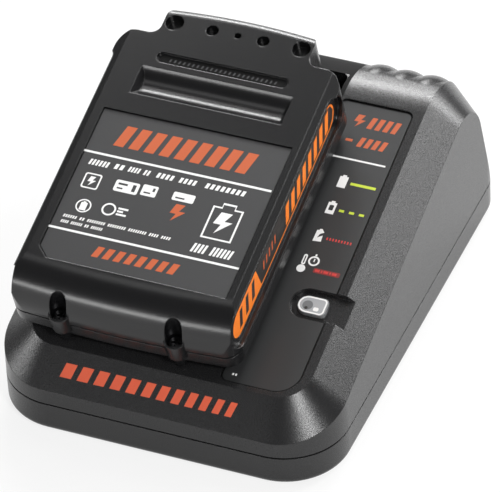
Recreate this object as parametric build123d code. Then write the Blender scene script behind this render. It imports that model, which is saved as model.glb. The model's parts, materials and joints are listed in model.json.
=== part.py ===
from build123d import *
from math import cos, hypot, radians, sin, sqrt
import os

# Desktop charger for a slide-type power tool battery, with a five-cell pack in its dock.
# Millimetres. X is the width, Y runs from the front to the ridge at the back, Z is up, and
# the origin is the middle of the base on the table. Sizes along the sloping deck are given
# in dock coordinates: x across, s up the slope from the front edge, n square to the deck.

# ---- charger housing -----------------------------------------------------------------
width = 117.0            # across the parting line
depth = 163.0            # front to back at the parting line
slope = 16.3             # deck angle, degrees
base_height = 10.8       # base shell, bottom to parting line
deck_rise = 15.1         # parting line up to the deck plane, carried on to the front face
front_corner_r = 21.0
rear_corner_r = 13.0
wall = 2.4
seam = 0.6               # groove along the parting lines
draft = 1.0              # side walls lean in by this angle
ridge_r = 26.0           # rounding from the deck over to the rear wall
bevel_drop = 8.0         # bevel bands, square to the deck
side_bevel = 9.6         # bevel bands at the sides, along the deck
front_bevel = 11.0       # bevel band at the front, along the deck
edge_inset = 1.0         # side walls lean in by this much up to the bevels
deck_front = 9.6         # where the deck starts, up the slope
deck_corner_r = 10.5
base_edge_r = 2.5
split_s = 60.0           # where the front and rear halves of the form meet

# ---- feet and housing screws ------------------------------------------------------------
foot_r = 5.0
foot_thick = 1.8
foot_proud = 0.8
foot_inset = 17.0        # foot centre in from the sides and ends
post_r = 3.6
post_inset = 6.9         # screw posts in from the sides
post_front = 33.0        # screw posts, from the front and from the back
post_rear = 24.0
screw_shank_r = 1.2
screw_head_r = 2.4
screw_head_t = 1.8
snug_fit = 0.05          # round screws and pressed-on pieces
screw_length = 12.0
cross_width = 0.8        # cross recess in every screw head
cross_length = 2.8
cross_depth = 0.9
vent_count = 7
vent_pitch = 6.0
vent_length = 26.0
vent_width = 2.4
vent_back = 52.0         # middle of the floor vents, from the back

# ---- grip ribs over the ridge -------------------------------------------------------
rib_count = 4
rib_pitch = 9.0
rib_width = 8.7
rib_rise = 1.1
rib_offset = 3.8           # last rib's middle, out from the deck's edge
rib_middle = 34.0        # where the ribs stand highest, degrees up from the rear wall
rib_throw = 8.0          # how far the ribs' own arc is set out of the ridge's
rib_arc = 90.0           # degrees swept by each rib

# ---- dock well and its contacts --------------------------------------------------------
well_margin = 3.9        # deck left beside the well
well_half = 31.0
well_front = 17.3
well_rear = 136.0
well_depth = 13.0
well_corner_r = 3.0
land_width = 6.0         # two lands along the well floor that the pack stands on
land_height = 3.0
land_inset = 4.0
seat_gap = 0.3
block_half = 22.0
block_front = 21.5
block_length = 14.0
block_top = 2.6          # terminal block, above the well floor
block_flange = 2.0
blade_count = 4
blade_pitch = 10.0
blade_thick = 0.8
blade_length = 9.0
blade_rise = 10.0        # above the well floor
blade_tail = 2.6         # below the terminal block's flange

# ---- indicator panel and status light ------------------------------------------------
panel_margin = 3.2       # deck left beside the panel
panel_width = 25.7
panel_front = 11.3
panel_rear = 125.2
panel_recess = 1.0
panel_thick = 0.5
panel_corner_r = 8.4
panel_small_r = 2.6
panel_gap = 0.3          # round the panel
light_s = 45.9           # middle of the light's notch, up the slope
notch_half = 5.5
notch_length = 13.9      # from the panel's right edge
notch_depth = 2.2
lens_length = 9.8
lens_width = 6.4
lens_corner = 1.6        # the right corners; the left end is nearly round
lens_inset = 2.4         # lens in from the notch's round end
lens_proud = 1.4         # above the notch floor
lens_stem = 5.0          # light pipe below the notch floor
led_size = 2.6
led_height = 1.2
led_gap = 0.2
led_board_thick = 1.6
led_board_length = 18.0
led_board_width = 14.0
led_post_r = 1.4

# ---- boards and power parts ----------------------------------------------------------
board_width = 92.0
board_length = 118.0
board_front = 24.0
board_thick = 1.6
standoff_height = 4.2
standoff_r = 3.0
standoff_inset = 5.0
core_width = 36.0
core_depth = 16.0
core_height = 30.0
core_limb = 6.0          # outer limbs and yokes; the middle limb is twice this
core_x = -16.0
core_back = 24.5         # middle of the core, from the board's rear edge
winding_wall = 5.0
capacitor_sizes = ((6.5, 22.0), (5.0, 16.0), (5.0, 16.0), (4.0, 11.0))
capacitor_gap = 2.0
capacitor_x = 12.0
capacitor_back = 48.5
sink_width = 22.0
sink_length = 30.0
sink_base = 3.0
sink_height = 20.0
sink_fins = 6
fin_thick = 1.4
sink_x = 34.0
sink_back = 10.5         # rear end of the fins, from the board's rear edge
board_screw_length = 5.0

# ---- cord inlet -------------------------------------------------------------------------
bush_inset = 24.5        # in from the side
bush_drop = 42.0         # below the deck's level
bush_barrel_r = 4.8
bush_flange_r = 6.8
bush_flange = 1.8
bush_nose = 3.6
bush_bore_r = 3.1

# ---- battery pack ------------------------------------------------------------------------
pack_half = 39.2
pack_front = 12.2
front_bow = 1.6          # the front end bows out by this much
pack_rear = 118.0
pack_top = 24.7          # above the deck
pack_part = 9.2          # parting line between cover and base
pack_under = 4.6         # lower edge of the upright side wall
pack_wall = 2.2
pack_side_wall = 3.6
pack_corner_r = 6.5
pack_front_r = 5.5       # front corners
brow_r = 13.5             # rounding between the face and the front end
side_chamfer = 3.7       # across
chamfer_drop = 2.1
lip_half = 26.0
lip_reach = 13.6         # grip lip beyond the rear end
lip_under = 12.5
lip_bow = 1.4            # the lip's edge bows out by this much
lip_corner_r = 4.5
lip_neck_r = 3.5
lip_edge_r = 4.0
hull_half = 36.4         # where the tapering underside meets the deck's level
hull_under = 1.2
stem_half = 30.2         # block that stands in the well
stem_front = 18.5
stem_rear = 112.0
stem_corner_r = 3.0
boss_x = 19.8            # screw bosses on the front end
boss_shift = -1.2
boss_s = 14.0
boss_r = 3.8
boss_dip = 2.6           # the bosses reach this far below the parting line
boss_rim = 13.3          # top of the bosses' own wall
boss_post_r = 1.9        # foot of the tapered post under each boss
boss_post_top = 3.0
boss_under = 1.0
bore_r = 3.0
bore_floor = 9.6
pack_screw_length = 7.5

# ---- pack face ------------------------------------------------------------------------------
label_half = 32.8
label_front = 25.9
label_length = 60.1
label_thick = 0.3
label_recess = 0.9
label_gap = 0.3
label_corner = 4.0
label_shift = 0.4
scoop_s = 99.2
scoop_half_chord = 5.8
scoop_depth = 3.0
scoop_half = 26.4
scoop_end = 2.0          # the ends slope inwards by this
scoop_skin = 1.1
slot_s = 109.4
slot_length = 46.0
slot_width = 4.2
slot_depth = 0.9
dimple_s = 123.6
dimple_depth = 3.0
dimples = ((-22.2, 3.1), (-8.9, 2.1), (0.0, 1.2), (8.9, 2.1), (22.2, 3.1))
strip_low = 11.4         # coloured side strips, above the deck
strip_high = 22.0
strip_front = 18.1
strip_rear = 109.6
strip_recess = 2.4
strip_thick = 0.5
pocket_rim = 1.3         # pocket round each side strip
pocket_reach = 3.2       # beyond the strip's ends
pocket_depth = 1.7
trim_gap = 0.15          # round every plate that lies in a recess

# ---- cells and pack electronics --------------------------------------------------------
cell_r = 9.15
cell_length = 65.0
cell_count = 5
cell_pitch = 19.4
cell_start = 27.6
cell_level = 12.45
holder_outer = 32.3
holder_thick = 3.8
holder_fit = 0.15
holder_corner_r = 8.0
holder_rim = 0.3         # beyond the bores of the end cells
strap_thick = 0.3
strap_width = 9.0
strap_end = 6.0
pack_board_half = 26.0
pack_board_front = 21.5
pack_board_length = 42.0
pack_board_level = -0.4      # underside of the pack's board
clip_leaf = 0.4
clip_gap = 0.25
clip_bridge = 0.6
clip_height = 5.6
clip_margin = 0.8
slot_clear = 1.6         # pack slots, each side of a blade
board_post_r = 2.0

# ---- release button -----------------------------------------------------------------------
button_half = 14.6       # wings behind the cheeks
button_nose_half = 11.0
button_wing = 3.4
button_reach = 8.0
button_low = -1.0
button_spare = 0.4       # left between the button and the lip at full stroke
tooth_half = 8.0
tooth_low = -7.5
tooth_thick = 3.4
button_gap = 0.35
button_stroke = 3.5
cheek_thick = 2.6
cheek_lip = 2.0
cheek_low = -4.0
spring_r = 2.1
spring_wire_r = 0.35
spring_wire_sides = 6
spring_turns = 5
spring_length = 11.6
spring_bore_r = 2.7

# ---- worked out from the sizes above ---------------------------------------------------
parting_z = foot_proud + base_height
front_y = -depth / 2
rear_y = depth / 2
rise = sin(radians(slope))
run = cos(radians(slope))
deck_z = parting_z + deck_rise
DOCK = Plane(origin=(0, front_y, deck_z), x_dir=(1, 0, 0), z_dir=(0, -rise, run))
rear_s = depth * run - deck_rise * rise      # rear wall, square to the deck
deck_half = width / 2 - edge_inset - side_bevel
panel_right = deck_half - panel_margin
panel_left = panel_right - panel_width
notch_left = panel_right - notch_length
lens_left = notch_left + lens_inset
pack_x = -deck_half + well_margin + well_half
board_rear = front_y + board_front + board_length
side_rate = side_bevel / bevel_drop
front_rate = front_bevel / bevel_drop
corner_rate = (front_corner_r - deck_corner_r) / bevel_drop
deep = depth                                 # reach of shapes that must pass right through
above = 40.0                                 # reach of cutting tools above the deck
past = 1.0                                   # overshoot of cutting tools past a face
bevel_skirt = 14.0                           # bevel planes carried on below their lower edge
well_floor = -well_depth
button_high = lip_under - button_stroke - button_spare
stem_under = well_floor + land_height + seat_gap
cell_room = cell_length / 2 + strap_thick + 2 * trim_gap   # half the width of the room for cells
scoop_r = (scoop_half_chord**2 + scoop_depth**2) / (2 * scoop_depth)
bow_r = (pack_half**2 + front_bow**2) / (2 * front_bow)
bow_s = pack_front + bow_r                   # axis of the bowed front end
bow_swing = 18.0                             # degrees swept by the bowed front end
lip_tip = pack_rear + lip_reach
lip_bow_r = (lip_half**2 + lip_bow**2) / (2 * lip_bow)
lip_swing = 50.0                             # degrees swept by the bowed lip


def block(x0, x1, y0, y1, z0, z1):
    """Box between two corners."""
    middle = Pos((x0 + x1) / 2, (y0 + y1) / 2, (z0 + z1) / 2)
    return middle * Box(x1 - x0, y1 - y0, z1 - z0)


def rod(radius, x, y, z0, z1):
    """Upright cylinder between two heights."""
    return Pos(x, y, (z0 + z1) / 2) * Cylinder(radius, z1 - z0)


def round_corners(face, radius, wanted):
    """Fillet the corners of a flat face that wanted(vertex) picks."""
    corners = [v for v in face.vertices() if wanted(v)]
    return fillet(corners, radius) if radius > 0 else face


def slab(x0, x1, y0, y1, z0, z1, radius):
    """Plate with its upright corners rounded."""
    plate = block(x0, x1, y0, y1, z0, z1)
    return fillet(plate.edges().filter_by(Axis.Z), radius)


def in_pack(shape):
    """From pack coordinates (x from the pack's middle, s, n) to the world."""
    return DOCK * Pos(pack_x, 0, 0) * shape


# ---- housing form ----------------------------------------------------------------------

def plan_face(inset, z):
    """Plan outline at one height, with tighter corners at the back."""
    half = width / 2 - inset
    length = depth - 2 * inset
    face = make_face(Polyline((-half, -length / 2), (half, -length / 2), (half, length / 2),
                              (-half, length / 2), close=True))
    face = round_corners(face, front_corner_r - inset, lambda v: v.Y < 0)
    face = round_corners(face, rear_corner_r - inset, lambda v: v.Y > 0)
    return Pos(0, 0, z) * face


def bevel_half(n, inset):
    """Half the width across the side bevels at a height square to the deck."""
    return deck_half - side_rate * n - inset * hypot(1, side_rate)


def front_section(n, inset):
    """Deck-parallel section of the front half: the bevels widen it as n falls."""
    side = bevel_half(n, inset)
    front = deck_front + front_rate * n + inset * hypot(1, front_rate)
    radius = deck_corner_r - corner_rate * n - inset
    face = make_face(Polyline((-side, front), (side, front), (side, split_s), (-side, split_s),
                              close=True))
    return Pos(0, 0, n) * round_corners(face, radius, lambda v: v.Y < front + radius)


def rear_section(x, level):
    """Lengthwise section of the rear half, rounded over the ridge."""
    plane = Plane(origin=(x, 0, 0), x_dir=(0, 1, 0), z_dir=(1, 0, 0))
    end = rear_s + level
    face = make_face(Polyline((split_s, -deep), (end, -deep), (end, level), (split_s, level),
                              close=True))
    top = end - ridge_r / 2
    return plane * round_corners(face, ridge_r + level, lambda v: v.X > top and v.Y > -deep / 2)


def rear_form(level, inset):
    """Rear half with its ridge and side bevels; level lifts the deck, inset thins the bevels."""
    low = -bevel_skirt
    wide = bevel_half(low, inset)
    narrow = bevel_half(level, inset)
    return loft([rear_section(-wide, low), rear_section(-narrow, level),
                 rear_section(narrow, level), rear_section(wide, low)], ruled=True)


def housing_form(inset, z0):
    """Outer form of the housing above z0, every surface moved in by the inset."""
    low = -bevel_skirt
    front = loft([front_section(low, inset), front_section(-inset, inset)], ruled=True)
    front += block(-width, width, -depth, split_s, -deep, low)
    rear = rear_form(-inset, inset)
    walls = extrude(plan_face(inset, z0), amount=deep / 2, taper=draft)
    return walls & (DOCK * (front + rear))


def ridge_rib(index):
    """One rounded grip rib, following the ridge down to the rear wall."""
    x = deck_half + rib_offset - (rib_count - 1 - index) * rib_pitch
    half = rib_width / 2
    radius = ridge_r - rib_throw
    inner = radius - wall / 2
    arc = ThreePointArc((x - half, radius), (x, radius + rib_rise), (x + half, radius))
    outline = arc + Polyline((x + half, radius), (x + half, inner), (x - half, inner),
                             (x - half, radius))
    rib = revolve(Rot(-rib_arc / 2, 0, 0) * make_face(outline), Axis.X, rib_arc)
    rib = Rot(rib_middle, 0, 0) * Pos(0, rib_throw, 0) * rib
    return DOCK * Pos(0, rear_s - ridge_r, -ridge_r) * rib


def well_tool(grow, floor, top):
    """Block the size of the dock well, grown by a wall where asked."""
    return in_pack(slab(-well_half - grow, well_half + grow, well_front - grow, well_rear + grow,
                        floor, top, well_corner_r + grow))


def post_places():
    """Housing screw positions."""
    x = width / 2 - post_inset
    return [(sx * x, y) for sx in (-1, 1) for y in (front_y + post_front, rear_y - post_rear)]


def notch_tool(inset, top):
    """Notch of the status light, running out through the side bevel."""
    half = notch_half - inset
    left = notch_left + inset
    shape = block(left + half, width / 2, light_s - half, light_s + half, -notch_depth, top)
    return DOCK * (shape + rod(half, left + half, light_s, -notch_depth, top))


def lens_shape(gap, z0, z1):
    """Bar with a nearly round left end, as long as the light."""
    half = lens_width / 2 + gap
    left = lens_left - gap
    right = lens_left + lens_length + gap
    face = make_face(Polyline((left, light_s - half), (right, light_s - half),
                              (right, light_s + half), (left, light_s + half), close=True))
    face = round_corners(face, half - trim_gap / 2, lambda v: v.X < left + gap + trim_gap)
    face = round_corners(face, lens_corner, lambda v: v.X > right - trim_gap)
    return DOCK * Pos(0, 0, z0) * extrude(face, amount=z1 - z0)


def panel_face(gap):
    """Outline of the indicator panel."""
    face = make_face(Polyline((panel_left + gap, panel_front + gap),
                              (panel_right - gap, panel_front + gap),
                              (panel_right - gap, panel_rear - gap),
                              (panel_left + gap, panel_rear - gap), close=True))
    face = round_corners(face, panel_corner_r - gap,
                         lambda v: v.Y < light_s and v.X > panel_left + panel_width / 2)
    return round_corners(face, panel_small_r - gap,
                         lambda v: v.Y > light_s or v.X < panel_left + panel_small_r)


def top_housing():
    """Moulded upper shell with the dock well, panel recess and grip ribs."""
    outer = housing_form(0, parting_z)
    shell = outer - housing_form(wall, parting_z - wall)
    tub = well_tool(wall, well_floor - wall, wall) & outer
    posts = [rod(post_r, x, y, parting_z, deck_z + depth) & outer for x, y in post_places()]
    shell = shell + tub + posts
    shell += notch_floor() & outer
    limit = DOCK * rear_form(rib_rise, 0)
    shell += [ridge_rib(i) & limit for i in range(rib_count)]
    shell -= well_tool(0, well_floor, above)
    shell += lands()
    shell -= DOCK * Pos(0, 0, -panel_recess) * extrude(panel_face(0), amount=above)
    shell -= notch_tool(0, above)
    shell -= lens_shape(trim_gap, -above, 0)
    shell -= block_opening()
    shell -= bush_hole()
    shell -= extrude(plan_face(-past, parting_z) - plan_face(seam, parting_z), amount=seam)
    for x, y in post_places():
        shell -= rod(screw_shank_r + snug_fit, x, y, 0, parting_z + screw_length)
    return shell


def notch_floor():
    """Thickened wall under the light's notch and the two posts of its board."""
    low = -notch_depth - wall
    floor = block(notch_left - wall, deck_half, light_s - notch_half - wall,
                  light_s + notch_half + wall, low, 0)
    top = led_board_top()
    for x in led_post_x():
        floor += rod(led_post_r, x, light_s, top, low)
    return DOCK * floor


def led_board_top():
    """Upper face of the small light board, below the deck."""
    return -notch_depth - lens_stem - led_gap - led_height


def led_post_x():
    """The light board hangs on a post at each end, clear of the light pipe."""
    mid = lens_left + lens_length / 2
    reach = led_board_length / 2 - led_post_r
    return (mid - reach, mid + reach)


def lands():
    """Two lands along the floor of the well."""
    x = stem_half - land_inset
    top = well_floor + land_height
    bars = [block(sx * x - land_width / 2, sx * x + land_width / 2, well_front, well_rear,
                  well_floor - wall / 2, top) for sx in (-1, 1)]
    return [in_pack(bar) for bar in bars]


def block_opening():
    """Opening in the well floor for the terminal block."""
    gap = trim_gap
    return in_pack(block(-block_half - gap, block_half + gap, block_front - gap,
                         block_front + block_length + gap, well_floor - 2 * wall, well_floor + gap))


def bush_place():
    """Plane of the cord inlet on the rear wall, facing out."""
    centre = DOCK.from_local_coords(Vector(width / 2 - bush_inset, rear_s, -bush_drop))
    return Plane(origin=centre, x_dir=(1, 0, 0), z_dir=(0, run, rise))


def bush_hole():
    """Hole for the cord bush."""
    return bush_place() * Cylinder(bush_barrel_r, 4 * wall)


def cord_bush():
    """Rubber bush of the mains cord inlet, gripping both faces of the wall."""
    gap = trim_gap
    profile = Polyline((bush_bore_r, -wall - bush_flange), (bush_flange_r, -wall - bush_flange),
                       (bush_flange_r, -wall), (bush_barrel_r - gap, -wall),
                       (bush_barrel_r - gap, 0), (bush_flange_r, 0),
                       (bush_flange_r, bush_flange), (bush_barrel_r, bush_nose),
                       (bush_bore_r, bush_nose), close=True)
    return bush_place() * revolve(Plane.XZ * make_face(profile), Axis.Z)


def indicator_panel():
    """Thin plate lying in the deck's recess, cut out round the status light."""
    plate = DOCK * Pos(0, 0, -panel_recess) * extrude(panel_face(panel_gap), amount=panel_thick)
    return plate - notch_tool(-panel_gap, above)


def status_lens():
    """Clear light pipe, its head standing in the notch."""
    return lens_shape(0, -notch_depth - lens_stem, -notch_depth + lens_proud)


def status_led():
    """Light under the lens, on its board."""
    mid = lens_left + lens_length / 2
    half = led_size / 2
    low = led_board_top()
    return DOCK * block(mid - half, mid + half, light_s - half, light_s + half, low,
                        low + led_height)


def led_board():
    """Small circuit board that carries the light."""
    mid = lens_left + lens_length / 2
    top = led_board_top()
    return DOCK * block(mid - led_board_length / 2, mid + led_board_length / 2,
                        light_s - led_board_width / 2, light_s + led_board_width / 2,
                        top - led_board_thick, top)


# ---- base and what stands in it ---------------------------------------------------------

def foot_places():
    """Feet near the four corners."""
    x = width / 2 - foot_inset
    y = depth / 2 - foot_inset
    return [(sx * x, sy * y) for sx in (-1, 1) for sy in (-1, 1)]


def board_corners():
    """Standoff positions under the main board."""
    x = board_width / 2 - standoff_inset
    y0 = front_y + board_front + standoff_inset
    y1 = board_rear - standoff_inset
    return [(sx * x, y) for sx in (-1, 1) for y in (y0, y1)]


def base_shell():
    """Lower shell with screw bosses, board standoffs, foot recesses and floor vents."""
    outer = extrude(plan_face(0, foot_proud), amount=base_height)
    outer = fillet(outer.faces().sort_by(Axis.Z)[0].edges(), base_edge_r)
    floor_z = foot_proud + wall
    shell = outer - extrude(plan_face(wall, floor_z), amount=base_height)
    for x, y in post_places():
        shell += rod(post_r, x, y, floor_z - wall / 2, parting_z) & outer
    for x, y in board_corners():
        shell += rod(standoff_r, x, y, floor_z - wall / 2, floor_z + standoff_height)
        shell -= rod(screw_shank_r + snug_fit, x, y, floor_z, floor_z + standoff_height)
    head_z = parting_z - screw_head_t
    for x, y in post_places():
        shell -= rod(screw_shank_r + snug_fit, x, y, 0, parting_z)
        shell -= rod(screw_head_r + trim_gap, x, y, 0, head_z - screw_head_t)
    for x, y in foot_places():
        shell -= rod(foot_r + trim_gap, x, y, 0, foot_thick)
    for i in range(vent_count):
        x = (i - (vent_count - 1) / 2) * vent_pitch
        y = rear_y - vent_back
        shell -= Pos(x, y, foot_proud) * Rot(0, 0, 90) * extrude(
            SlotOverall(vent_length, vent_width), amount=2 * wall, both=True)
    return shell


def rubber_feet():
    """Round feet, part sunk in the base."""
    return [rod(foot_r, x, y, 0, foot_thick) for x, y in foot_places()]


def screw(length, up=1):
    """Pan head screw at the origin: the head's seat is at z = 0, the shank points down."""
    shank = rod(screw_shank_r, 0, 0, -length, 0)
    head = rod(screw_head_r, 0, 0, 0, screw_head_t)
    cross = block(-cross_length / 2, cross_length / 2, -cross_width / 2, cross_width / 2,
                  screw_head_t - cross_depth, screw_head_t)
    return (shank + head) - (cross + Rot(0, 0, 90) * cross)


def housing_screws():
    """Screws that pull the base up to the posts of the top housing."""
    seat = parting_z - 2 * screw_head_t
    return [Pos(x, y, seat) * Rot(180, 0, 0) * screw(screw_length) for x, y in post_places()]


def board_z():
    """Underside of the main board."""
    return foot_proud + wall + standoff_height


def main_board():
    """Main circuit board on its standoffs."""
    board = slab(-board_width / 2, board_width / 2, front_y + board_front, board_rear,
                 board_z(), board_z() + board_thick, standoff_inset / 2)
    for x, y in board_corners():
        board -= rod(screw_shank_r + snug_fit, x, y, 0, parting_z)
    return board


def board_screws():
    """Screws of the main board."""
    top = board_z() + board_thick
    return [Pos(x, y, top) * screw(board_screw_length) for x, y in board_corners()]


def transformer_core():
    """Laminated core with a middle limb and two windows."""
    z0 = board_z() + board_thick
    core = block(-core_width / 2, core_width / 2, -core_depth / 2, core_depth / 2, 0, core_height)
    for side in (-1, 1):
        x0, x1 = sorted((side * core_limb, side * (core_width / 2 - core_limb)))
        core -= block(x0, x1, -core_depth, core_depth, core_limb, core_height - core_limb)
    return Pos(core_x, board_rear - core_back, z0) * core


def transformer_winding():
    """Wound bobbin round the middle limb."""
    z0 = board_z() + board_thick + core_limb
    height = core_height - 2 * core_limb
    half = core_width / 2 - core_limb - trim_gap
    reach = core_depth / 2 + winding_wall
    coil = slab(-half, half, -reach, reach, trim_gap, height - trim_gap, winding_wall / 2)
    coil -= block(-core_limb - snug_fit, core_limb + snug_fit, -core_depth / 2 - trim_gap,
                  core_depth / 2 + trim_gap, 0, height)
    return Pos(core_x, board_rear - core_back, z0) * coil


def capacitors():
    """Round capacitors in a row on the main board."""
    z0 = board_z() + board_thick
    cans = []
    x = capacitor_x
    for radius, height in capacitor_sizes:
        x -= radius
        cans.append(rod(radius, x, board_rear - capacitor_back, z0, z0 + height))
        x -= radius + capacitor_gap
    return cans


def heat_sink():
    """Finned aluminium block."""
    z0 = board_z() + board_thick
    sink = block(-sink_width / 2, sink_width / 2, -sink_length / 2, sink_length / 2, 0, sink_base)
    pitch = (sink_width - fin_thick) / (sink_fins - 1)
    for i in range(sink_fins):
        x = -sink_width / 2 + i * pitch
        sink += block(x, x + fin_thick, -sink_length / 2, sink_length / 2, 0, sink_height)
    return Pos(sink_x, board_rear - sink_back - sink_length / 2, z0) * sink


def blade_places():
    """Contact positions across the pack."""
    return [(i - (blade_count - 1) / 2) * blade_pitch for i in range(blade_count)]


def blade_shapes(grow_x, grow_s, low, high):
    """One plate for each contact."""
    mid = block_front + block_length / 2
    half = blade_length / 2 + grow_s
    thick = blade_thick / 2 + grow_x
    return [block(x - thick, x + thick, mid - half, mid + half, low, high)
            for x in blade_places()]


def terminal_block():
    """Plastic block that holds the contact blades, flanged under the well floor."""
    under = well_floor - wall
    body = block(-block_half, block_half, block_front, block_front + block_length,
                 under - block_flange, well_floor + block_top)
    body += block(-block_half - block_flange, block_half + block_flange,
                  block_front - block_flange, block_front + block_length + block_flange,
                  under - block_flange, under)
    for blade in blade_shapes(0, 0, -above, 0):
        body -= blade
    return in_pack(body)


def contact_blades():
    """Contact blades, standing up along the lift-off direction."""
    low = well_floor - wall - block_flange - blade_tail
    return [in_pack(blade) for blade in blade_shapes(0, 0, low, well_floor + blade_rise)]


# ---- battery pack --------------------------------------------------------------------------

def pack_plan(inset, narrower=0):
    """Plan outline of the pack without its lip; the front end bows out."""
    half = pack_half - inset - narrower
    radius = bow_r - inset
    front = bow_s - sqrt(radius**2 - half**2)
    rear = pack_rear - inset
    bow = ThreePointArc((-half, front), (0, bow_s - radius), (half, front))
    face = make_face(bow + Polyline((half, front), (half, rear), (-half, rear), (-half, front)))
    face = round_corners(face, pack_front_r - inset, lambda v: v.Y < pack_rear / 2)
    return round_corners(face, pack_corner_r - inset, lambda v: v.Y > rear - trim_gap)


def lip_plan():
    """Plan of the pack with its grip lip."""
    end = lip_tip - lip_bow
    start = pack_rear - pack_corner_r
    edge = ThreePointArc((-lip_half, end), (0, lip_tip), (lip_half, end))
    lip = make_face(edge + Polyline((lip_half, end), (lip_half, start), (-lip_half, start),
                                    (-lip_half, end)))
    lip = round_corners(lip, lip_corner_r, lambda v: v.Y > pack_rear)
    whole = pack_plan(0) + lip
    return round_corners(whole, lip_neck_r,
                         lambda v: abs(v.Y - pack_rear) < trim_gap
                         and abs(abs(v.X) - lip_half) < trim_gap)


def brow_form(inset):
    """All that lies behind the bowed front end and under its wide rounding."""
    plane = Plane(origin=(0, 0, 0), x_dir=(0, 1, 0), z_dir=(1, 0, 0))
    front = pack_front + inset
    top = pack_top - inset
    face = make_face(Polyline((front, 0), (depth, 0), (depth, top), (front, top), close=True))
    face = plane * round_corners(face, brow_r - inset, lambda v: v.X < pack_rear and v.Y > 0)
    start = Pos(0, bow_s, 0) * Rot(0, 0, -bow_swing / 2) * Pos(0, -bow_s, 0) * face
    return revolve(start, Axis((0, bow_s, 0), (0, 0, 1)), bow_swing)


def lip_form():
    """All that lies in front of the bowed lip and under its eased edge."""
    plane = Plane(origin=(0, 0, 0), x_dir=(0, 1, 0), z_dir=(1, 0, 0))
    face = make_face(Polyline((0, 0), (lip_tip, 0), (lip_tip, pack_top), (0, pack_top),
                              close=True))
    face = plane * round_corners(face, lip_edge_r, lambda v: v.X > 0 and v.Y > 0)
    centre = lip_tip - lip_bow_r
    start = Pos(0, centre, 0) * Rot(0, 0, -lip_swing / 2) * Pos(0, -centre, 0) * face
    return revolve(start, Axis((0, centre, 0), (0, 0, 1)), lip_swing)


def pack_section():
    """Cross section with bevelled upper edges."""
    top = pack_top
    half = pack_half
    face = make_face(Polyline((-half, 0), (half, 0), (half, top - chamfer_drop),
                              (half - side_chamfer, top), (-half + side_chamfer, top),
                              (-half, top - chamfer_drop), close=True))
    return extrude(Plane.XZ * face, amount=deep, both=True)


def scoop_tool(radius):
    """Round-bottomed trough across the face, with sloping ends."""
    grow = radius - scoop_r
    wide = scoop_half + grow
    drop = scoop_depth + grow + past
    foot = wide - scoop_end * drop / scoop_depth
    ends = make_face(Polyline((-wide, pack_top + past), (-wide, pack_top), (-foot, pack_top - drop),
                              (foot, pack_top - drop), (wide, pack_top), (wide, pack_top + past),
                              close=True))
    trough = Rot(0, 90, 0) * Cylinder(radius, 2 * (wide + past))
    trough = Pos(0, scoop_s, pack_top - scoop_depth + scoop_r) * trough
    return trough & extrude(Plane.XZ * ends, amount=deep, both=True)


def label_face(gap):
    """Outline of the face label, one corner cut off."""
    x0 = label_shift - label_half + gap
    x1 = label_shift + label_half - gap
    y0 = label_front + gap
    y1 = label_front + label_length - gap
    return make_face(Polyline((x0 + label_corner, y0), (x1, y0), (x1, y1), (x0, y1),
                              (x0, y0 + label_corner), close=True))


def strip_tool(side, rim, reach, x0, x1):
    """Side strip grown by a rim and longer at its ends, between two distances across."""
    plane = Plane(origin=(side * x0, 0, 0), x_dir=(0, 1, 0), z_dir=(1, 0, 0))
    height = strip_high - strip_low + 2 * rim
    length = strip_rear - strip_front + 2 * reach
    shape = Pos((strip_front + strip_rear) / 2, (strip_low + strip_high) / 2) * SlotOverall(
        length, height)
    return extrude(plane * shape, amount=side * (x1 - x0))


def pack_cover():
    """Upper shell of the pack with its face details and grip lip."""
    cover = extrude(lip_plan(), amount=pack_top) & brow_form(0) & lip_form()
    cover = cover & pack_section()
    cover += boss_rods(boss_r, pack_part, boss_rim)
    cavity = extrude(pack_plan(pack_wall, pack_side_wall - pack_wall), amount=pack_top)
    cavity = cavity & brow_form(pack_wall)
    cavity -= scoop_tool(scoop_r + scoop_skin)
    cavity -= boss_rods(boss_r, 0, pack_top)
    cover -= cavity
    cover -= block(-pack_half, pack_half, 0, depth, -above, pack_part)
    ring = extrude(pack_plan(-past) - pack_plan(seam), amount=seam)
    cover -= Pos(0, 0, pack_part) * (ring - block(-pack_half - past, pack_half + past,
                                                  pack_rear - past, depth, 0, seam))
    cover += boss_rods(boss_r, pack_part - boss_dip, pack_part + seam)
    cover -= block(-pack_half, pack_half, pack_rear, depth, 0, lip_under)
    cover += cheeks(pack_part, lip_under)
    cover -= scoop_tool(scoop_r)
    cover -= Pos(0, slot_s, pack_top - slot_depth) * extrude(
        SlotOverall(slot_length, slot_width), amount=slot_depth + past)
    for x, radius in dimples:
        cover -= rod(radius, x, dimple_s, pack_top - dimple_depth, pack_top + past)
    cover -= Pos(0, 0, pack_top - label_recess) * extrude(label_face(0), amount=label_recess + past)
    for side in (-1, 1):
        cover -= strip_tool(side, pocket_rim, pocket_reach, pack_half - pocket_depth,
                            pack_half + past)
        cover -= strip_tool(side, 0, 0, pack_half - strip_recess, pack_half + past)
    cover -= boss_rods(bore_r, bore_floor, pack_top + past)
    cover -= boss_rods(screw_shank_r + snug_fit, 0, pack_top)
    return in_pack(cover)


def boss_rods(radius, low, high):
    """Matching rods at the two front screw bosses."""
    return [rod(radius, boss_shift + side * boss_x, boss_s, low, high) for side in (-1, 1)]


def cheeks(low, high):
    """Guides beside the release button, with lips that hold its wings."""
    inner = button_half + button_gap
    lip_in = button_nose_half + button_gap
    s0 = pack_rear - pack_wall
    s1 = pack_rear + button_gap + button_wing + button_gap
    right = block(inner, inner + cheek_thick, s0, s1 + cheek_lip, low, high)
    right += block(lip_in, inner + cheek_thick, s1, s1 + cheek_lip, low, high)
    return [right, right.mirror(Plane.YZ)]


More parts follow.
